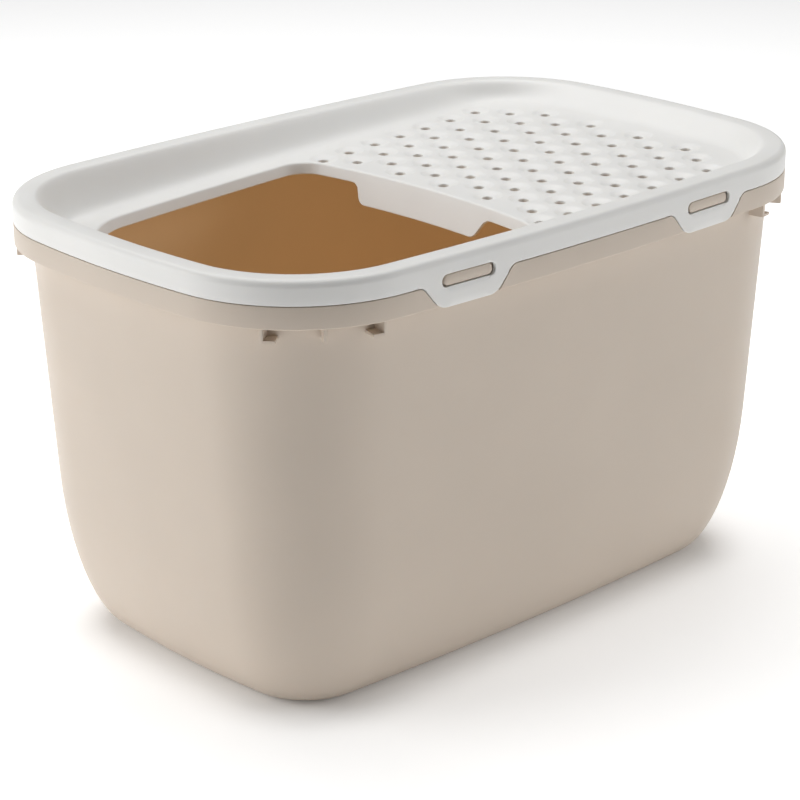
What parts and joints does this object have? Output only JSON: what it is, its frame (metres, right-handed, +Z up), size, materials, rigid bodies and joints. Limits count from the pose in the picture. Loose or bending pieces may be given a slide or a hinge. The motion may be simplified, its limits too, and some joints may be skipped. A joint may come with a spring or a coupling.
{
  "type": "top-entry litter box",
  "caption": "Deep rounded plastic tub under a dished lid with a top entry opening and a perforated sloping step, held on by hinged snap clips",
  "frame": {"origin": "on the floor under the middle of the box", "axes": "+X along the length, from the entry opening towards the perforated step; +Y across the width; +Z up"},
  "size_m": [0.585, 0.3796, 0.339],
  "materials": {
    "tub_plastic": "satin moulded polypropylene, warm greige",
    "lid_plastic": "satin moulded polypropylene, off-white"
  },
  "bodies": {
    "tub": {"tub": "tub_plastic"},
    "lid": {"lid": "lid_plastic"},
    "lid_clip_front_left": {"lid_clip_front_left": "lid_plastic"},
    "lid_clip_front_right": {"lid_clip_front_right": "lid_plastic"},
    "lid_clip_back_left": {"lid_clip_back_left": "lid_plastic"},
    "lid_clip_back_right": {"lid_clip_back_right": "lid_plastic"}
  },
  "joints": [
    {"name": "lid_lift", "type": "slide", "parent": "tub", "child": "lid", "axis": [0, 0, 1], "range_m": [0, 0.12]},
    {"name": "lid_clip_front_left_hinge", "type": "hinge", "parent": "lid", "child": "lid_clip_front_left", "pos_m": [-0.12499, -0.1872, 0.3298], "axis": [-0.9993, 0.0368, 0], "range_deg": [0, 12], "stiffness_Nm_per_rad": 0.35},
    {"name": "lid_clip_front_right_hinge", "type": "hinge", "parent": "lid", "child": "lid_clip_front_right", "pos_m": [0.12499, -0.1872, 0.3298], "axis": [-0.9993, -0.0368, 0], "range_deg": [0, 12], "stiffness_Nm_per_rad": 0.35},
    {"name": "lid_clip_back_left_hinge", "type": "hinge", "parent": "lid", "child": "lid_clip_back_left", "pos_m": [-0.12499, 0.1872, 0.3298], "axis": [0.9993, 0.0368, 0], "range_deg": [0, 12], "stiffness_Nm_per_rad": 0.35},
    {"name": "lid_clip_back_right_hinge", "type": "hinge", "parent": "lid", "child": "lid_clip_back_right", "pos_m": [0.12499, 0.1872, 0.3298], "axis": [0.9993, -0.0368, 0], "range_deg": [0, 12], "stiffness_Nm_per_rad": 0.35}
  ]
}
